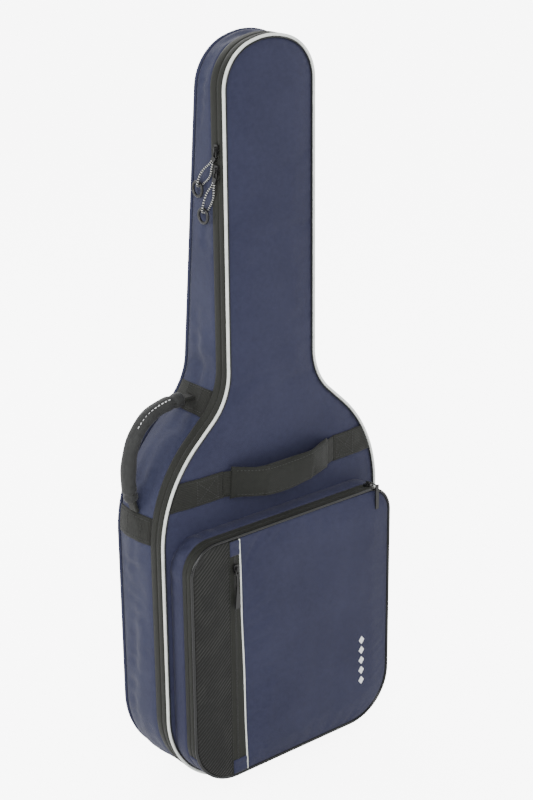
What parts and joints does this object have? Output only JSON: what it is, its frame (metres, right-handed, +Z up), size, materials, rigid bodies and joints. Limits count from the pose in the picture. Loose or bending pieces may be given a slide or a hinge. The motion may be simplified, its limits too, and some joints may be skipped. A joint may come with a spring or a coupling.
{
  "type": "padded gig bag",
  "caption": "Padded gig bag for a classical guitar, with a zipped hinged front panel, a zipped front pocket, webbing carrying handles and padded back straps.",
  "frame": {"origin": "on the flat wear patch that the bag stands on, in the middle of its width and half way through the depth of its body", "axes": "+Z up towards the head of the bag, -Y towards the front panel and pocket, +X to the right seen from the front"},
  "size_m": [0.4031, 0.1691, 1.0515],
  "materials": {
    "blue_fabric": "woven polyester, satin",
    "foam": "closed foam",
    "lining": "smooth lining",
    "zip_tape": "woven zip tape",
    "zip_coil": "nylon coil",
    "light_piping": "smooth coated cord",
    "dark_piping": "glossy coated cord",
    "guard": "matt wear patch",
    "protector": "smooth artificial leather",
    "black_webbing": "woven webbing",
    "grip_fabric": "padded fabric",
    "ribbed_fabric": "diagonal ribbed fabric",
    "slider_metal": "black lacquer",
    "black_plastic": "moulded",
    "pull_cord": "braided cord with light flecks",
    "pull_rubber": "smooth rubber"
  },
  "bodies": {
    "shell": {"base_guard": "guard", "back_panel_fabric": "blue_fabric", "back_panel_foam": "foam", "back_panel_lining": "lining", "gusset_fabric": "blue_fabric", "gusset_foam": "foam", "gusset_lining": "lining", "gusset_zip_tape": "zip_tape", "gusset_zip_coil": "zip_coil", "zip_end_stops": "zip_coil", "hinge_strip": "blue_fabric", "back_piping": "dark_piping", "headstock_protector": "protector", "side_anchor_lower": "black_webbing", "side_anchor_upper": "black_webbing", "strap_top_anchor": "black_webbing", "strap_foot_anchors": "black_webbing"},
    "lid": {"front_panel_fabric": "blue_fabric", "front_panel_foam": "foam", "front_panel_lining": "lining", "front_piping": "light_piping", "lid_zip_tape": "zip_tape", "lid_zip_coil": "zip_coil", "bridge_protector": "protector", "front_handle_anchors": "black_webbing", "pocket_gusset": "blue_fabric", "pocket_zip_tape": "zip_tape"},
    "pocket_flap": {"flap_panel": "blue_fabric", "flap_ribbed_panel": "ribbed_fabric", "flap_zip_tape": "zip_tape", "flap_foam": "foam", "flap_zip_tabs": "blue_fabric", "flap_zip_coil": "zip_coil", "flap_trim_piping": "light_piping", "flap_edge_piping": "dark_piping", "flap_edge_zip_tape": "zip_tape"},
    "side_handle": {"side_grip": "grip_fabric", "side_grip_core": "black_webbing"},
    "front_handle": {"front_handle_webbing": "black_webbing", "front_handle_sleeve": "grip_fabric"},
    "upper_slider": {"main_slider_upper": "slider_metal"},
    "upper_pull": {"pull_clamp_upper": "black_plastic", "pull_cord_upper": "pull_cord", "pull_ring_upper": "pull_rubber"},
    "lower_slider": {"main_slider_lower": "slider_metal"},
    "lower_pull": {"pull_clamp_lower": "black_plastic", "pull_cord_lower": "pull_cord", "pull_ring_lower": "pull_rubber"},
    "flap_slider": {"flap_slider": "slider_metal"},
    "flap_pull": {"flap_slider_pull": "black_plastic"},
    "pocket_slider": {"pocket_slider": "slider_metal"},
    "pocket_pull": {"pocket_slider_pull": "black_plastic"},
    "left_strap": {"strap_pad_left": "grip_fabric", "strap_webbing_left": "black_webbing", "strap_adjuster_left": "black_plastic"},
    "right_strap": {"strap_pad_right": "grip_fabric", "strap_webbing_right": "black_webbing", "strap_adjuster_right": "black_plastic"}
  },
  "joints": [
    {"name": "lid_hinge", "type": "hinge", "parent": "shell", "child": "lid", "pos_m": [0.1915, -0.037, 0.26], "axis": [0, 0, 1], "range_deg": [0, 150]},
    {"name": "pocket_flap_hinge", "type": "hinge", "parent": "lid", "child": "pocket_flap", "pos_m": [0, -0.085, 0.0327], "axis": [1, 0, 0], "range_deg": [0, 90]},
    {"name": "side_handle_swing", "type": "hinge", "parent": "shell", "child": "side_handle", "pos_m": [-0.0945, 0.008, 0.5695], "axis": [-0.5776, 0, -0.8163], "range_deg": [-40, 40]},
    {"name": "front_handle_swing", "type": "hinge", "parent": "lid", "child": "front_handle", "pos_m": [0.007, -0.0546, 0.46], "axis": [1, 0, 0], "range_deg": [-30, 30]},
    {"name": "upper_slider_travel", "type": "slide", "parent": "shell", "child": "upper_slider", "axis": [0, 0, 1], "range_m": [0, 0.05]},
    {"name": "upper_pull_flip", "type": "hinge", "parent": "upper_slider", "child": "upper_pull", "pos_m": [-0.0795, -0.037, 0.912], "axis": [0, 1, 0], "range_deg": [0, 150]},
    {"name": "lower_slider_travel", "type": "slide", "parent": "shell", "child": "lower_slider", "axis": [0, 0, 1], "range_m": [-0.12, 0]},
    {"name": "lower_pull_flip", "type": "hinge", "parent": "lower_slider", "child": "lower_pull", "pos_m": [-0.0795, -0.037, 0.885], "axis": [0, 1, 0], "range_deg": [0, 150]},
    {"name": "flap_slider_travel", "type": "slide", "parent": "pocket_flap", "child": "flap_slider", "axis": [0, 0, 1], "range_m": [-0.26, 0.008]},
    {"name": "flap_pull_flip", "type": "hinge", "parent": "flap_slider", "child": "flap_pull", "pos_m": [-0.106, -0.1023, 0.356], "axis": [-1, 0, 0], "range_deg": [0, 150]},
    {"name": "pocket_slider_travel", "type": "slide", "parent": "pocket_flap", "child": "pocket_slider", "axis": [1, 0, 0], "range_m": [-0.266, 0]},
    {"name": "pocket_pull_flip", "type": "hinge", "parent": "pocket_slider", "child": "pocket_pull", "pos_m": [0.146, -0.085, 0.4055], "axis": [-1, 0, 0], "range_deg": [0, 110]},
    {"name": "left_strap_swing", "type": "hinge", "parent": "shell", "child": "left_strap", "pos_m": [-0.016, 0.056, 0.575], "axis": [-0.1792, 0, -0.9838], "range_deg": [0, 70]},
    {"name": "right_strap_swing", "type": "hinge", "parent": "shell", "child": "right_strap", "pos_m": [0.016, 0.056, 0.575], "axis": [-0.1792, 0, 0.9838], "range_deg": [0, 70]}
  ]
}
